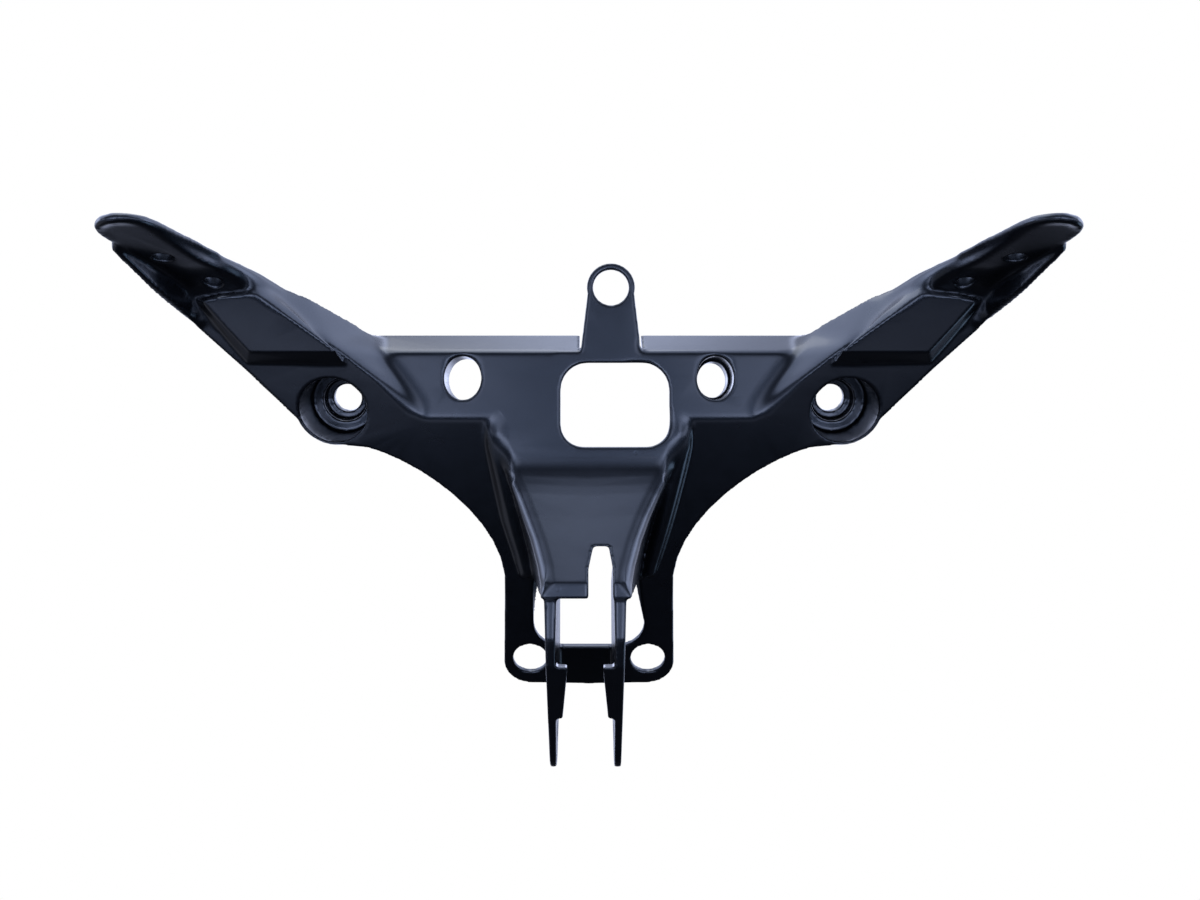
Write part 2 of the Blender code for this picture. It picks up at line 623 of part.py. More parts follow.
def bosses():
    """The solids that stand on the shell."""
    back = Vector((0.0, 1.0, 0.0))
    yield "tab", tab()
    yield "bead_left", bead(LEFT)
    yield "bead_right", bead(RIGHT)
    for side, name, length in ((LEFT, "left", CROSS_BOSS_LENGTH[0]), (RIGHT, "right", CROSS_BOSS_LENGTH[1])):
        yield "pad_" + name, pad(side)
        yield "cup_" + name, cup(side)
        start = Vector((side * CROSS_HOLE_HALF, WALL - OVERLAP, CROSS_HOLE_Z))
        radius = CROSS_HOLE_HALF_WIDTH + CROSS_BOSS_WALL
        stretch = (CROSS_HOLE_HALF_HEIGHT + CROSS_BOSS_WALL) / radius
        yield "cross_boss_" + name, rod(start, back, length + OVERLAP, radius, stretch)
        yield "ear_" + name, ear(side)
        yield "ear_lip_" + name, ear_lip(side)
        up = seat_normal(side)
        for number, at in enumerate(mirror_holes(side), 1):
            height = OVERLAP + MIRROR_BOSS_HEIGHT
            made = rod(at + up * (WALL - OVERLAP), up, height, MIRROR_BOSS_RADIUS, steps=24)
            yield f"mirror_boss_{name}_{number}", made


def cuts():
    """The holes and openings."""
    back = Vector((0.0, 1.0, 0.0))
    across = Vector((1.0, 0.0, 0.0))
    plate_back = Vector((0.0, math.cos(PLATE_LEAN), math.sin(PLATE_LEAN)))
    yield "window_cut", window()
    yield "slot_cut", slot()
    tab_hole = Vector((TAB_X, -CUT_PAST, TAB_HOLE_Z))
    yield "tab_hole", rod(tab_hole, back, 2 * CUT_PAST + WALL, TAB_HOLE_RADIUS)
    for side, name, length in ((LEFT, "left", CROSS_BOSS_LENGTH[0]), (RIGHT, "right", CROSS_BOSS_LENGTH[1])):
        yield "cup_bore_" + name, cup_bore(side)
        start = Vector((side * CROSS_HOLE_HALF, -CUT_PAST, CROSS_HOLE_Z))
        stretch = CROSS_HOLE_HALF_HEIGHT / CROSS_HOLE_HALF_WIDTH
        through = length + WALL + 2 * CUT_PAST
        narrow = CROSS_HOLE_HALF_WIDTH
        if side == RIGHT:
            yield "cross_hole_front", rod(start, back, CUT_PAST + CROSS_STEP_DEPTH, narrow, stretch)
            narrow *= CROSS_STEP_SHARE
        yield "cross_hole_" + name, rod(start, back, through, narrow, stretch)
        start = on_plate(side * LOBE_HALF, LOBE_Z, CUT_PAST)
        yield "lobe_hole_" + name, rod(start, plate_back, 2 * CUT_PAST + WALL, LOBE_HOLE_RADIUS)
        up = seat_normal(side)
        length = 2 * CUT_PAST + WALL + MIRROR_BOSS_HEIGHT
        for number, at in enumerate(mirror_holes(side), 1):
            hole = rod(at - up * CUT_PAST, up, length, MIRROR_HOLE_RADIUS, steps=20)
            yield f"mirror_hole_{name}_{number}", hole
    for number, (y, z) in enumerate((LOWER_BOLT, UPPER_BOLT), 1):
        start = Vector((FORK_CENTRE_X - EAR_SPACING, y, z))
        yield f"bolt_hole_{number}", rod(start, across, 2 * EAR_SPACING, BOLT_RADIUS, steps=24)


def paint():
    made = bpy.data.materials.new("black_paint_on_cast_aluminium")
    made.use_nodes = True
    shader = made.node_tree.nodes["Principled BSDF"]
    shader.inputs["Base Color"].default_value = (0.008, 0.009, 0.013, 1.0)
    shader.inputs["Roughness"].default_value = 0.3
    shader.inputs["Metallic"].default_value = 0.0
    return made


def combine(body, helper, operation):
    step = body.modifiers.new(helper.name, "BOOLEAN")
    step.operation = operation
    step.solver = "EXACT"
    step.object = helper


def main():
    clear_scene()
    parts = collection("fairing_stay")
    joined = collection("solids_on_the_shell")
    cutters = collection("cutters")
    origin = bpy.data.objects.new("fork_bolt_axis", None)
    parts.objects.link(origin)
    origin.location = Vector((0.0, -LOWER_BOLT[0], -LOWER_BOLT[1])) * MM
    shell = add_object("stay_casting", shell_surface(), parts)
    shell.parent = origin
    shell.data.materials.append(paint())
    solid = shell.modifiers.new("wall", "SOLIDIFY")
    solid.thickness = WALL * MM
    solid.offset = -1.0
    solid.solidify_mode = "NON_MANIFOLD"
    solid.nonmanifold_thickness_mode = "CONSTRAINTS"
    gap = add_object("flange_gap", flange_gap(), cutters, helper=True)
    gap.parent = origin
    combine(shell, gap, "DIFFERENCE")
    for name, bm in bosses():
        helper = add_object(name, bm, joined, helper=True)
        helper.parent = origin
        combine(shell, helper, "UNION")
    for name, bm in cuts():
        helper = add_object(name, bm, cutters, helper=True)
        helper.parent = origin
        combine(shell, helper, "DIFFERENCE")


if __name__ == "__main__":
    main()
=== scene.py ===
"""Dresses the motorcycle fairing stay: one casting in semi-gloss black paint, on a pale studio stage."""

import json
import math

import bpy
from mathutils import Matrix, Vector
from mathutils.kdtree import KDTree

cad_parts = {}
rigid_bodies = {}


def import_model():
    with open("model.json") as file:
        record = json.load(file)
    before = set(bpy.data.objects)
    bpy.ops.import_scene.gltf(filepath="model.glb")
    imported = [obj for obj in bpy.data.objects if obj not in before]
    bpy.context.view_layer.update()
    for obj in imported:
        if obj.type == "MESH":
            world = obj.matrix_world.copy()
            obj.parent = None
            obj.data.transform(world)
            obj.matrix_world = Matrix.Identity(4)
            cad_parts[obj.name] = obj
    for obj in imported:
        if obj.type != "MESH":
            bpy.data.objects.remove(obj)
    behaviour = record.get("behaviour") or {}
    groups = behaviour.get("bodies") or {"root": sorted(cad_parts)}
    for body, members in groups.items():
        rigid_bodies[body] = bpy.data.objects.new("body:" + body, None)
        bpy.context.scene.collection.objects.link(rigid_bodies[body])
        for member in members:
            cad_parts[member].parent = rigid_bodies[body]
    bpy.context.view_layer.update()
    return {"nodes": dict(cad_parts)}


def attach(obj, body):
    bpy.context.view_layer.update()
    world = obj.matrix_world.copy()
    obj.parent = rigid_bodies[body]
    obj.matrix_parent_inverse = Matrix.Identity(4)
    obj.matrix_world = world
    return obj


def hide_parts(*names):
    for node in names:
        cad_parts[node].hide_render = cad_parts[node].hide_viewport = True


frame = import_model()

bl_info = {
    "name": "Fairing Stay",
    "version": (1, 0, 0),
    "blender": (4, 5, 0),
    "location": "View3D > Sidebar > Fairing Stay",
    "description": "Dresses a cast motorcycle fairing stay and sets its studio",
    "category": "Object",
}

MM = 0.001
PANEL_FRONT = -22.0 * MM  # y of the panel's front face
FORK_TO_PANEL = 131.0 * MM  # height of the panel's zero line over the fork's bolt

# The casting's own drawing, in millimetres: the distance outboard of the middle, y behind the panel's front
# face and z over the panel's zero line. It is drawn for the right side and mirrored.

# Folds that are softened. The neck's are measured from its own centre line.
NECK_CENTRE = -1.2
NECK_FOLDS = (
    ((38.5, 0.0, -4.9), (36.4, -2.1, -12.4), (32.3, -6.3, -20.0), (27.5, -12.5, -30.0),
     (20.2, -25.5, -50.0)),
    ((40.5, 0.0, 14.3), (38.5, 4.0, -4.9), (37.6, 9.8, -4.9), (34.2, 17.5, -20.0), (29.2, 27.7, -40.0),
     (26.0, 36.0, -56.0)),
    ((41.0, 2.0, 9.0), (40.6, 8.8, -3.0), (35.6, 23.5, -31.8), (31.0, 32.5, -50.0)),
)
WING_FOLDS = (
    ((133.4, -24.6, 62.6), (144.9, -35.0, 70.7), (154.3, -54.1, 75.1), (159.5, -70.4, 79.0),
     (163.7, -85.8, 82.7)),
    ((73.2, 0.0, 14.3), (93.5, 0.0, 43.75)),
    ((93.5, 0.0, 43.75), (99.4, 6.0, 53.4)),
    ((41.0, 0.0, 14.3), (73.2, 0.0, 14.3)),
    ((20.0, 0.0, 43.75), (93.5, 0.0, 43.75)),
    ((160.5, -22.0, 56.0), (169.8, -30.0, 67.8), (173.3, -49.8, 72.8)),
    ((147.0, -39.0, 78.0), (149.6, -44.0, 79.0), (152.4, -50.0, 80.2)),
    ((163.7, -85.8, 82.7), (163.2, -85.2, 86.5), (158.0, -68.0, 84.2)),
    ((163.7, -85.8, 82.7), (167.5, -90.3, 83.6), (173.3, -92.6, 83.8), (179.1, -91.2, 83.1),
     (182.3, -87.2, 81.9)),
    ((182.3, -87.2, 81.9), (183.0, -80.6, 80.1), (180.8, -71.8, 78.0)),
)
BEND_FOLD = ((-38.5, 0.0, -4.9), (38.5, 0.0, -4.9))
# Lines across the softened middle of the band: from near its crest to near its upper edge or onto the panel
BAND_LINES = (
    ((78.6, -2.0, 19.6), (73.4, 0.0, 20.6)),
    ((91.6, -6.2, 33.3), (81.2, 0.0, 34.0)),
    ((103.0, -10.6, 42.5), (88.6, 0.0, 40.6)),
    ((110.4, -13.0, 47.9), (103.4, -0.8, 51.4)),
    ((125.0, -19.8, 58.2), (122.9, -14.2, 63.3)),
    ((132.8, -23.1, 63.9), (131.2, -18.6, 67.8)),
    ((144.3, -33.8, 71.8), (142.8, -30.1, 75.2)),
    ((149.4, -43.0, 76.4), (148.4, -42.0, 78.8)),
)
# Where the bead's top meets the panel and the neck
KNEE = ((41.6, 0.8, 12.0), (41.8, 1.0, 6.0), (40.6, 0.4, 0.0), (39.0, 0.4, -5.5), (37.6, 0.4, -11.0))
# The band's corner at the flange: its root, and both ends of its upper edge
BAND_CORNER = ((93.5, 0.0, 43.75), (95.5, 15.0, 52.95), (99.4, 6.0, 53.4))
CORNER_SHARE = (0.05, 0.7)  # the stretch from root to edge that is softened
CORNER_STEPS = 10
# Rounds that are melted into the casting, with their radius as fourth number: the bead beside the neck, and
# the rolled rim along the band's end and round the seat's nose
BEAD = (
    (40.6, 4.6, 9.6, 3.2),
    (41.0, 4.9, 7.2, 4.2),
    (41.0, 5.3, 4.4, 5.0),
    (40.5, 8.0, -3.0, 5.2),
    (35.0, 22.4, -31.8, 4.3),
    (31.4, 30.1, -46.9, 3.8),
    (28.9, 35.4, -57.5, 3.3),
)
RIM = (
    (131.2, -19.4, 67.2, 0.5),
    (137.2, -24.6, 71.7, 0.9),
    (142.8, -31.2, 75.4, 1.1),
    (148.4, -42.0, 78.6, 0.9),
    (153.4, -52.0, 80.6, 1.1),
    (158.4, -68.0, 82.8, 1.5),
    (163.4, -84.0, 84.8, 2.1),
    (168.6, -90.0, 85.0, 2.2),
    (174.0, -91.6, 84.6, 2.2),
    (179.0, -90.0, 83.6, 2.0),
    (181.6, -86.0, 82.4, 1.8),
    (182.0, -80.4, 81.0, 1.6),
    (180.6, -74.0, 79.4, 1.2),
)
# Two pits under the paint, one in the panel and one in the lip, in the frame's own place
PITS = ((21.0 * MM, -22.0 * MM, 129.7 * MM), (-12.6 * MM, -51.4 * MM, 72.5 * MM))

MERGE_DISTANCE = 0.002 * MM  # for the doubled points of the CAD's mesh
SMOOTHING = 0.5  # how far a point moves toward its neighbours in each round of smoothing
FADE = 0.5  # the outer share of a softening's reach, where it fades out
MOST_TRIANGLES = 190000

# The paint
GRAIN_SHARE = 0.3  # height of the grain against the slow waves
BUMP_DEPTH = 0.4 * MM
PIT_FLOOR = 0.4  # the share of a pit's radius that is flat
PIT_DEPTH = 3.0  # against the slow waves' height
ROUGHNESS_SWING = 0.12  # how much duller the paint is on the slow waves' tops than between them
TINT_LIFT = 1.3  # and how much lighter

# The room's light by height: degrees up from straight ahead of the stay, overhead at 90, and the brightness
ROOM_BY_HEIGHT = (
    (-180, 0.6),
    (-155, 0.3),
    (-138, 0.03),
    (-66, 0.01),
    (-57, 0.06),
    (-52, 0.1),
    (-46, 0.5),
    (-38, 0.15),
    (-33, 0.03),
    (-20, 0.03),
    (-14, 1.6),
    (-7, 1.6),
    (0, 0.8),
    (8, 0.8),
    (20, 0.3),
    (32, 0.12),
    (45, 0.3),
    (64, 1.8),
    (85, 2.0),
    (110, 2.0),
    (130, 1.85),
    (150, 1.4),
    (180, 0.8),
)
# And by width, from the left at -1 to the right at 1: near the floor, ahead, and overhead
ROOM_BY_WIDTH = (
    ((-1, 3.0), (-0.8, 3.0), (-0.5, 1.8), (-0.25, 2.5), (-0.12, 1.6), (0, 0.75), (0.12, 0.8), (0.25, 1.5),
     (0.45, 0.6), (1, 0.2)),
    ((-1, 2.0), (-0.85, 1.2), (-0.7, 0.3), (-0.45, 1.0), (-0.22, 2.7), (-0.14, 2.4), (-0.07, 0.75),
     (0, 0.42), (0.07, 0.65), (0.14, 2.4), (0.22, 2.7), (0.45, 1.0), (0.7, 1.5), (0.85, 1.2), (1, 2.0)),
    ((-1, 1.8), (-0.85, 1.1), (-0.73, 0.75), (-0.62, 1.15), (-0.5, 1.0), (-0.3, 0.5), (-0.14, 0.32),
     (0, 1.2), (0.14, 0.6), (0.3, 0.45), (0.5, 1.0), (0.62, 1.15), (0.73, 0.75), (0.85, 1.1), (1, 1.8)),
)
FLOOR_TO_AHEAD = (-0.6, -0.35)  # the heights between which one width's light turns into the next
AHEAD_TO_OVERHEAD = (0.2, 0.45)
ROOM_TINT = (0.88, 0.97, 1.32)
RAMP_TOP = 4.0  # what a ramp's white stands for
# Soft glows low on both sides: the way to each, how near to it the glow's edge and middle lie, and the colour
SIDE_GLOWS = (
    ((0.88, 0.15, -0.45), 0.945, 0.99, (0.05, 0.07, 0.1)),
    ((-0.85, 0.0, -0.53), 0.86, 0.97, (0.014, 0.014, 0.016)),
)

FLOOR_RADIUS = 0.42
FLOOR_HEIGHT = -0.33
FLOOR_IN_PAINT = (0.02, 0.02, 0.02, 1.0)  # the floor's colour in the paint's reflections
SOFTBOX_PLACE = (-0.25, 0.05, 1.3)
SOFTBOX_AIM = (0.0, 0.0, 0.13)
SOFTBOX_SIZE = (1.2, 0.7)
SENSOR_WIDTH = 36.0
CAMERA_SHIFT = 11.0 / 1200  # how far left of the picture's middle the stay's middle stands, in picture widths


class Value:
    """A shader socket that can be used in Python expressions."""

    def __init__(self, board, socket):
        self.board = board
        self.socket = socket

    def math(self, operation, *others):
        inputs = {i: other for i, other in enumerate((self, *others))}
        return self.board.add("ShaderNodeMath", {"operation": operation}, inputs)

    def __add__(self, other):
        return self.math("ADD", other)

    def __sub__(self, other):
        return self.math("SUBTRACT", other)

    def __mul__(self, other):
        return self.math("MULTIPLY", other)

    def __truediv__(self, other):
        return self.math("DIVIDE", other)

    def __neg__(self):
        return self * -1.0


class Board:
    """The nodes of one material or world."""

    def __init__(self, owner):
        owner.use_nodes = True
        self.tree = owner.node_tree
        self.tree.nodes.clear()

    def add(self, kind, settings=None, inputs=None, output=0):
        """A node with its settings and the values or links of its sockets."""
        node = self.tree.nodes.new(kind)
        settings = dict(settings or {})
        stops = settings.pop("stops", None)
        for key, value in settings.items():
            setattr(node, key, value)
        if stops:
            marks = node.color_ramp.elements
            while len(marks) < len(stops):
                marks.new(1.0)
            for mark, (place, colour) in zip(marks, stops):
                mark.position = place
                mark.color = (*colour, 1.0)
        for key, value in (inputs or {}).items():
            if isinstance(value, Value):
                self.tree.links.new(value.socket, node.inputs[key])
            else:
                node.inputs[key].default_value = value
        return Value(self, node.outputs[output]) if len(node.outputs) else None

    def rise(self, value, low, high):
        """Rises softly from 0 to 1 while a value goes from low to high."""
        settings = {"interpolation_type": "SMOOTHSTEP"}
        return self.add("ShaderNodeMapRange", settings, {"Value": value, 1: low, 2: high})

    def mix(self, factor, first, second, blend="MIX"):
        """Two colours in one."""
        settings = {"data_type": "RGBA", "blend_type": blend}
        return self.add("ShaderNodeMix", settings, {0: factor, 6: first, 7: second}, output=2)


def black_paint(look):
    """Semi-gloss black paint over the fine grain of a die casting."""
    material = bpy.data.materials.new("black_paint")
    board = Board(material)
    place = board.add("ShaderNodeTexCoord", output="Object")
    grain = board.add(
        "ShaderNodeTexNoise",
        {"noise_dimensions": "3D"},
        {"Vector": place, "Scale": 1 / look.grain_size, "Detail": 3.0, "Roughness": 0.6},
    )
    flow = board.add(
        "ShaderNodeTexNoise",
        {"noise_dimensions": "3D"},
        {"Vector": place, "Scale": 1 / look.flow_size, "Detail": 2.0, "Roughness": 0.5},
    )
    height = grain * GRAIN_SHARE + flow - pits(board, place, look)
    bump = board.add(
        "ShaderNodeBump",
        {},
        {"Height": height, "Strength": look.grain_strength, "Distance": BUMP_DEPTH},
    )
    roughness = flow * ROUGHNESS_SWING + (look.roughness - ROUGHNESS_SWING / 2)
    lifted = (*[c * TINT_LIFT for c in look.paint_colour[:3]], 1.0)
    tint = board.mix(flow, (*look.paint_colour,), lifted)
    shader = board.add(
        "ShaderNodeBsdfPrincipled",
        {},
        {
            "Base Color": tint,
            "Roughness": roughness,
            "Normal": bump,
            "IOR": 1.5,
            "Specular Tint": (*look.sheen_colour,),
            "Coat Weight": look.coat,
            "Coat Roughness": look.coat_roughness,
        },
    )
    board.add("ShaderNodeOutputMaterial", {}, {"Surface": shader})
    return material


def pits(board, place, look):
    """How deep the casting's small pits are under the paint."""
    depth = 0.0
    for centre in PITS:
        away = board.add(
            "ShaderNodeVectorMath",
            {"operation": "DISTANCE"},
            {0: place, 1: centre},
            output="Value",
        )
        pit = board.add(
            "ShaderNodeMapRange",
            {"interpolation_type": "SMOOTHSTEP"},
            {"Value": away, 1: PIT_FLOOR * look.pit_size, 2: look.pit_size, 3: PIT_DEPTH, 4: 0.0},
        )
        depth = pit + depth
    return depth


class CastingLook(bpy.types.PropertyGroup):
    voxel: bpy.props.FloatProperty(
        name="Surface detail",
        description="Size of the grid that the casting's surface is rebuilt on",
        default=0.7 * MM,
        min=0.4 * MM,
        subtype="DISTANCE",
        unit="LENGTH",
        precision=5,
    )
    edge_rounds: bpy.props.IntProperty(
        name="Edge softening",
        description="How often the rebuilt surface is smoothed, which rounds the casting's edges",
        default=5,
        min=0,
    )
    paint_colour: bpy.props.FloatVectorProperty(
        name="Paint",
        description="Colour of the black paint",
        default=(0.0012, 0.0013, 0.0019, 1.0),
        size=4,
        min=0.0,
        max=1.0,
        subtype="COLOR",
    )
    sheen_colour: bpy.props.FloatVectorProperty(
        name="Sheen",
        description="Cool cast of the paint's soft reflections",
        default=(0.62, 0.78, 1.0, 1.0),
        size=4,
        min=0.0,
        max=1.0,
        subtype="COLOR",
    )
    coat: bpy.props.FloatProperty(
        name="Gloss",
        description="How much clear gloss lies over the paint",
        default=0.5,
        min=0.0,
        max=1.0,
        subtype="FACTOR",
    )
    coat_roughness: bpy.props.FloatProperty(
        name="Gloss roughness",
        description="How blurred the clear gloss is",
        default=0.14,
        min=0.0,
        max=1.0,
        subtype="FACTOR",
    )
    pit_size: bpy.props.FloatProperty(
        name="Pits",
        description="Radius of the small pits in the casting",
        default=1.3 * MM,
        min=0.1 * MM,
        subtype="DISTANCE",
        unit="LENGTH",
        precision=5,
    )
    fold_reach: bpy.props.FloatProperty(
        name="Fold reach",
        description="How far from a fold its softening reaches",
        default=7.0 * MM,
        min=0.5 * MM,
        subtype="DISTANCE",
        unit="LENGTH",
        precision=5,
    )
    fold_rounds: bpy.props.IntProperty(
        name="Fold softening",
        description="How often the surface near the folds is smoothed",
        default=30,
        min=0,
    )
    band_reach: bpy.props.FloatProperty(
        name="Band reach",
        description="How far the bands' softening reaches past their middle",
        default=4.0 * MM,
        min=0.5 * MM,
        subtype="DISTANCE",
        unit="LENGTH",
        precision=5,
    )
    band_rounds: bpy.props.IntProperty(
        name="Band softening",
        description="How often the bands' surface is smoothed, which makes each one sweeping face",
        default=160,
        min=0,
    )
    knee_reach: bpy.props.FloatProperty(
        name="Knee reach",
        description="How far the softening at the tops of the beads reaches",
        default=5.2 * MM,
        min=0.5 * MM,
        subtype="DISTANCE",
        unit="LENGTH",
        precision=5,
    )
    knee_rounds: bpy.props.IntProperty(
        name="Knee softening",
        description="How often the surface at the tops of the beads is smoothed",
        default=240,
        min=0,
    )
    roughness: bpy.props.FloatProperty(
        name="Roughness",
        description="How dull the paint is",
        default=0.3,
        min=0.0,
        max=1.0,
        subtype="FACTOR",
    )
    grain_size: bpy.props.FloatProperty(
        name="Grain",
        description="Size of the cast grain under the paint",
        default=0.9 * MM,
        min=0.1 * MM,
        subtype="DISTANCE",
        unit="LENGTH",
        precision=5,
    )
    flow_size: bpy.props.FloatProperty(
        name="Flow",
        description="Size of the slow waves in the paint",
        default=7.0 * MM,
        min=1.0 * MM,
        subtype="DISTANCE",
        unit="LENGTH",
        precision=5,
    )
    grain_strength: bpy.props.FloatProperty(
        name="Grain strength",
        description="How strongly the grain shows",
        default=0.12,
        min=0.0,
        max=1.0,
        subtype="FACTOR",
    )


class StudioLook(bpy.types.PropertyGroup):
    camera_distance: bpy.props.FloatProperty(
        name="Camera distance",
        description="From the camera to the panel's front face",
        default=0.5,
        min=0.1,
        subtype="DISTANCE",
        unit="LENGTH",
    )
    lens: bpy.props.FloatProperty(
        name="Lens",
        description="Focal length",
        default=33.6,
        min=5.0,
        subtype="DISTANCE_CAMERA",
        unit="CAMERA",
    )
    floor_colour: bpy.props.FloatVectorProperty(
        name="Floor",
        description="Colour of the floor",
        default=(0.82, 0.82, 0.82, 1.0),
        size=4,
        min=0.0,
        max=1.0,
        subtype="COLOR",
    )
    softbox_power: bpy.props.FloatProperty(
        name="Softbox",
        description="Power of the softbox overhead",
        default=5.0,
        min=0.0,
        unit="POWER",
    )
    room_light: bpy.props.FloatProperty(
        name="Room light",
        description="Strength of the light that comes from the room",
        default=1.0,
        min=0.0,
    )


def deselect_all():
    for obj in bpy.context.view_layer.objects:
        obj.select_set(False)


def work_on(obj):
    deselect_all()
    obj.select_set(True)
    bpy.context.view_layer.objects.active = obj


def copy_of_node(node, name):
    """A copy of a CAD node's mesh at rest, with its doubles merged."""
    source = frame["nodes"][node]
    mesh = source.data.copy()
    mesh.name = name
    obj = bpy.data.objects.new(name, mesh)
    bpy.context.scene.collection.objects.link(obj)
    work_on(obj)
    bpy.ops.object.mode_set(mode="EDIT")
    bpy.ops.mesh.select_all(action="SELECT")
    bpy.ops.mesh.remove_doubles(threshold=MERGE_DISTANCE)
    bpy.ops.object.mode_set(mode="OBJECT")
    return obj


def apply_modifier(obj, kind, **settings):
    work_on(obj)
    made = obj.modifiers.new(kind.lower(), kind)
    for key, value in settings.items():
        setattr(made, key, value)
    bpy.ops.object.modifier_apply(modifier=made.name)


def along(points, step=MM):
    """Points at even steps along a line through these points."""
    made = []
    for a, b in zip(points, points[1:]):
        count = max(1, round((b - a).length / step))
        made += [a.lerp(b, i / count) for i in range(count)]
    return [*made, points[-1]]


def placed(point, side=1, centre=0.0):
    """A point of the casting's own drawing, in the frame's own place."""
    drawn = Vector((centre + side * point[0], point[1], point[2]))
    return drawn * MM + Vector((0.0, PANEL_FRONT, FORK_TO_PANEL))


def fold_points():
    """Points along all the casting's folds."""
    lines = [[placed(q) for q in BEND_FOLD]]
    for side in (-1, 1):
        lines += [[placed(q, side, NECK_CENTRE) for q in fold] for fold in NECK_FOLDS]
        lines += [[placed(q, side) for q in fold] for fold in WING_FOLDS]
    return [p for line in lines for p in along(line)]


def band_points():
    """Points all over both bands and over their corners at the flange."""
    points = []
    for side in (-1, 1):
        lines = [[placed(q, side) for q in line] for line in BAND_LINES]
        for (a, b), (c, d) in zip(lines, lines[1:]):
            steps = max(1, round((c - a).length / MM))
            for i in range(steps + 1):
                points += along([a.lerp(c, i / steps), b.lerp(d, i / steps)])
        root, back, front = (placed(q, side) for q in BAND_CORNER)
        for i in range(CORNER_STEPS + 1):
            edge = back.lerp(front, i / CORNER_STEPS)
            points += along([root.lerp(edge, share) for share in CORNER_SHARE])
    return points


def knee_points():
    """Points where the beads' tops meet the panel and the neck."""
    return [p for side in (-1, 1) for p in along([placed(q, side) for q in KNEE])]


def near_points(obj, group, points, reach):
    """Weighs a piece's points by how near they lie to these points."""
    tree = KDTree(len(points))
    for i, point in enumerate(points):
        tree.insert(point, i)
    tree.balance()
    for vert in obj.data.vertices:
        distance = tree.find(vert.co)[2]
        if distance < reach:
            share = 1.0 - distance / reach
            group.add([vert.index], min(1.0, share / FADE), "REPLACE")


def melt_in(obj, marks, side):
    """Joins a round of varying thickness to a piece, to be melted in when its surface is rebuilt."""
    curve = bpy.data.curves.new("round", "CURVE")
    curve.dimensions = "3D"
    curve.bevel_depth = MM
    curve.bevel_resolution = 4
    curve.use_fill_caps = True
    line = curve.splines.new("NURBS")
    line.points.add(len(marks) - 1)
    line.order_u = 3
    line.use_endpoint_u = True
    for point, (x, y, z, radius) in zip(line.points, marks):
        point.co = (*placed((x, y, z), side), 1.0)
        point.radius = radius
    made = bpy.data.objects.new("round", curve)
    bpy.context.scene.collection.objects.link(made)
    work_on(made)
    bpy.ops.object.convert(target="MESH")
    for x, y, z, radius in (marks[0], marks[-1]):
        bpy.ops.mesh.primitive_uv_sphere_add(
            segments=24, ring_count=16, radius=radius * MM, location=placed((x, y, z), side)
        )
        end = bpy.context.active_object
        end.select_set(True)
        made.select_set(True)
        bpy.context.view_layer.objects.active = made
        bpy.ops.object.join()
    work_on(obj)
    made.select_set(True)
    bpy.ops.object.join()


class STAY_OT_casting(bpy.types.Operator):
    """Rebuild the casting with soft cast edges and paint it"""

    bl_idname = "fairing_stay.casting"
    bl_label = "Casting"
    bl_options = {"REGISTER", "UNDO"}

    def execute(self, context):
        look = context.scene.fairing_stay_casting
        obj = copy_of_node("stay_casting", "painted_casting")
        for side in (-1, 1):
            melt_in(obj, BEAD, side)
            melt_in(obj, RIM, side)
        apply_modifier(obj, "REMESH", mode="VOXEL", voxel_size=look.voxel, adaptivity=0.0)
        for name, points, reach, rounds in (
            ("bands", band_points(), look.band_reach, look.band_rounds),
            ("folds", fold_points(), look.fold_reach, look.fold_rounds),
            ("knees", knee_points(), look.knee_reach, look.knee_rounds),
        ):
            group = obj.vertex_groups.new(name=name)
            near_points(obj, group, points, reach)
            apply_modifier(obj, "SMOOTH", factor=SMOOTHING, iterations=rounds, vertex_group=name)
        apply_modifier(obj, "SMOOTH", factor=SMOOTHING, iterations=look.edge_rounds)
        obj.vertex_groups.clear()
        count = sum(len(p.vertices) - 2 for p in obj.data.polygons)
        if count > MOST_TRIANGLES:
            apply_modifier(obj, "DECIMATE", ratio=MOST_TRIANGLES / count)
        work_on(obj)
        bpy.ops.object.shade_smooth()
        obj.data.materials.clear()
        obj.data.materials.append(black_paint(look))
        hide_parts("stay_casting")
        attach(obj, "root")
        return {"FINISHED"}


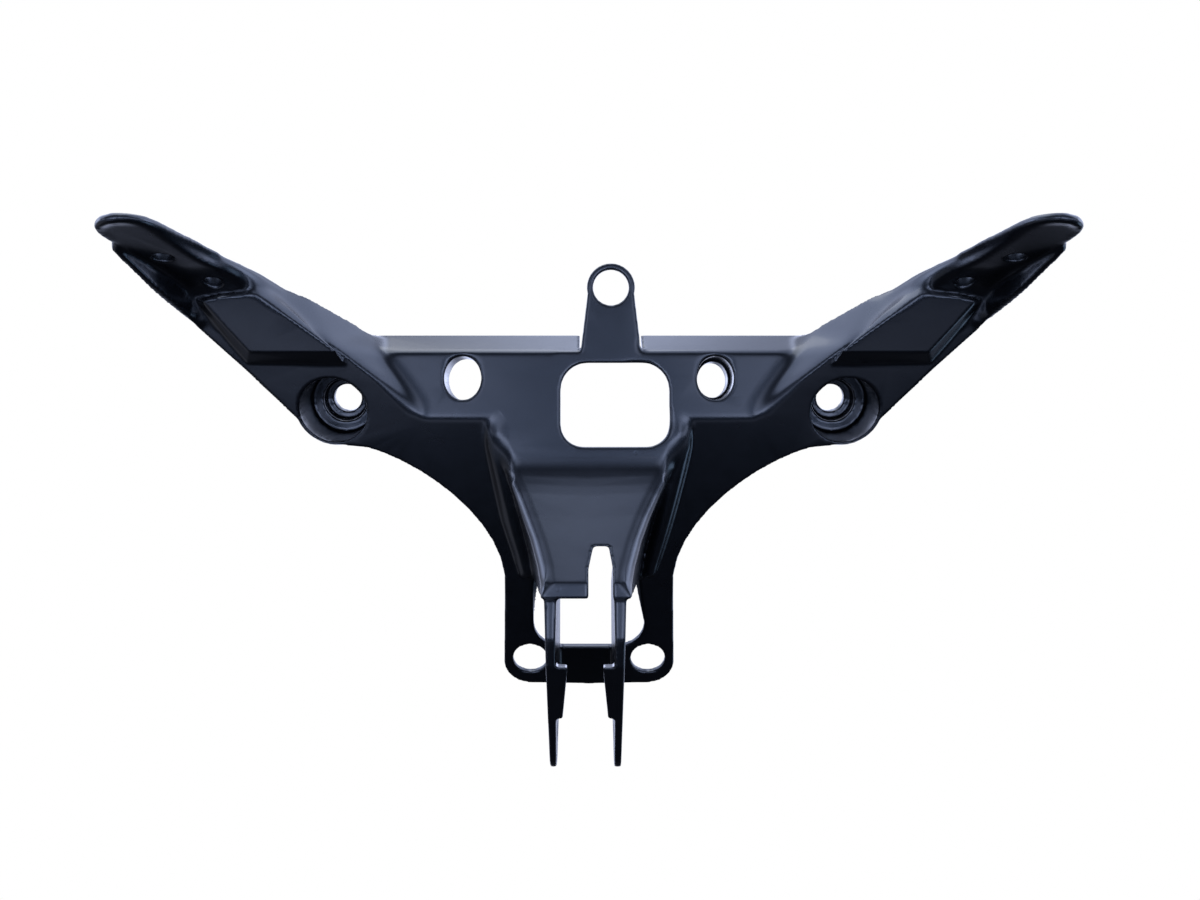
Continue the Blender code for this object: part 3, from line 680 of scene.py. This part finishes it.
class STAY_OT_studio(bpy.types.Operator):
    """Set the pale floor, the room's light, the softbox and the camera"""

    bl_idname = "fairing_stay.studio"
    bl_label = "Studio"
    bl_options = {"REGISTER", "UNDO"}

    def execute(self, context):
        look = context.scene.fairing_stay_studio
        self.floor(look)
        self.room(context, look)
        self.softbox(look)
        self.camera(context, look)
        context.scene.view_settings.view_transform = "Standard"
        return {"FINISHED"}

    def floor(self, look):
        """A round floor below the view, pale to the camera and dark in the paint's reflections."""
        deselect_all()
        bpy.ops.mesh.primitive_circle_add(
            vertices=96, radius=FLOOR_RADIUS, fill_type="NGON", location=(0.0, 0.0, FLOOR_HEIGHT)
        )
        floor = bpy.context.active_object
        floor.name = "studio_floor"
        material = bpy.data.materials.new("studio_floor")
        board = Board(material)
        seen = board.add("ShaderNodeLightPath", output="Is Camera Ray")
        pale = board.add("ShaderNodeBsdfDiffuse", {}, {"Color": look.floor_colour})
        dark = board.add("ShaderNodeBsdfDiffuse", {}, {"Color": FLOOR_IN_PAINT})
        mixed = board.add("ShaderNodeMixShader", {}, {0: seen, 1: dark, 2: pale})
        board.add("ShaderNodeOutputMaterial", {}, {"Surface": mixed})
        floor.data.materials.append(material)

    def room(self, context, look):
        """A room that is white to the camera and, to the paint, brightest overhead and dim below."""
        world = bpy.data.worlds.new("room")
        context.scene.world = world
        board = Board(world)
        way = board.add("ShaderNodeTexCoord", output="Generated")
        height = board.add("ShaderNodeSeparateXYZ", {}, {"Vector": way}, output="Z")
        depth, across = (Value(board, height.socket.node.outputs[axis]) for axis in "YX")
        turn = height.math("ARCTAN2", -depth) / math.tau + 0.5
        across = across * 0.5 + 0.5
        stops = [(a / 360 + 0.5, tuple(v / RAMP_TOP * c for c in ROOM_TINT)) for a, v in ROOM_BY_HEIGHT]
        light = board.add("ShaderNodeValToRGB", {"stops": stops}, {"Fac": turn})
        low, ahead, overhead = (self.across_room(board, across, marks) for marks in ROOM_BY_WIDTH)
        wide = board.mix(board.rise(height, *FLOOR_TO_AHEAD), low, ahead)
        wide = board.mix(board.rise(height, *AHEAD_TO_OVERHEAD), wide, overhead)
        lit = board.mix(1.0, light, wide, "MULTIPLY")
        for aim, edge, middle, glow in SIDE_GLOWS:
            toward = board.add(
                "ShaderNodeVectorMath",
                {"operation": "DOT_PRODUCT"},
                {0: way, 1: Vector(aim).normalized()},
                output="Value",
            )
            lit = board.mix(board.rise(toward, edge, middle), lit, (*glow, 1.0), "ADD")
        strength = RAMP_TOP**2 * look.room_light
        dim = board.add("ShaderNodeBackground", {}, {"Color": lit, "Strength": strength})
        white = board.add("ShaderNodeBackground", {}, {"Color": (1.0, 1.0, 1.0, 1.0), "Strength": 1.0})
        seen = board.add("ShaderNodeLightPath", output="Is Camera Ray")
        mixed = board.add("ShaderNodeMixShader", {}, {0: seen, 1: dim, 2: white})
        board.add("ShaderNodeOutputWorld", {}, {"Surface": mixed})

    def across_room(self, board, across, marks):
        """How bright the room is from its left to its right, at one height."""
        stops = [(x / 2 + 0.5, (v / RAMP_TOP,) * 3) for x, v in marks]
        return board.add("ShaderNodeValToRGB", {"stops": stops}, {"Fac": across})

    def softbox(self, look):
        deselect_all()
        bpy.ops.object.light_add(type="AREA", location=SOFTBOX_PLACE)
        lamp = bpy.context.active_object
        lamp.name = "softbox"
        lamp.data.shape = "RECTANGLE"
        lamp.data.size, lamp.data.size_y = SOFTBOX_SIZE
        lamp.data.energy = look.softbox_power
        aim = Vector(SOFTBOX_AIM) - lamp.location
        lamp.rotation_euler = aim.to_track_quat("-Z", "Y").to_euler()

    def camera(self, context, look):
        deselect_all()
        place = (0.0, PANEL_FRONT - look.camera_distance, FORK_TO_PANEL)
        bpy.ops.object.camera_add(location=place, rotation=(math.pi / 2, 0.0, 0.0))
        camera = bpy.context.active_object
        camera.data.lens = look.lens
        camera.data.sensor_width = SENSOR_WIDTH
        camera.data.shift_x = CAMERA_SHIFT
        camera.data.clip_start = 0.01
        context.scene.camera = camera


class STAY_PT_panel(bpy.types.Panel):
    bl_idname = "STAY_PT_panel"
    bl_label = "Fairing Stay"
    bl_space_type = "VIEW_3D"
    bl_region_type = "UI"
    bl_category = "Fairing Stay"

    def draw(self, context):
        layout = self.layout
        for look in (context.scene.fairing_stay_casting, context.scene.fairing_stay_studio):
            for name in look.__annotations__:
                layout.prop(look, name)
        for operator in (STAY_OT_casting, STAY_OT_studio):
            layout.operator(operator.bl_idname)


CLASSES = (CastingLook, StudioLook, STAY_OT_casting, STAY_OT_studio, STAY_PT_panel)


def register():
    for cls in CLASSES:
        bpy.utils.register_class(cls)
    bpy.types.Scene.fairing_stay_casting = bpy.props.PointerProperty(type=CastingLook)
    bpy.types.Scene.fairing_stay_studio = bpy.props.PointerProperty(type=StudioLook)


def unregister():
    del bpy.types.Scene.fairing_stay_studio
    del bpy.types.Scene.fairing_stay_casting
    for cls in reversed(CLASSES):
        bpy.utils.unregister_class(cls)


def main():
    register()
    bpy.ops.fairing_stay.studio()
    bpy.ops.fairing_stay.casting()


if __name__ == "__main__":
    main()
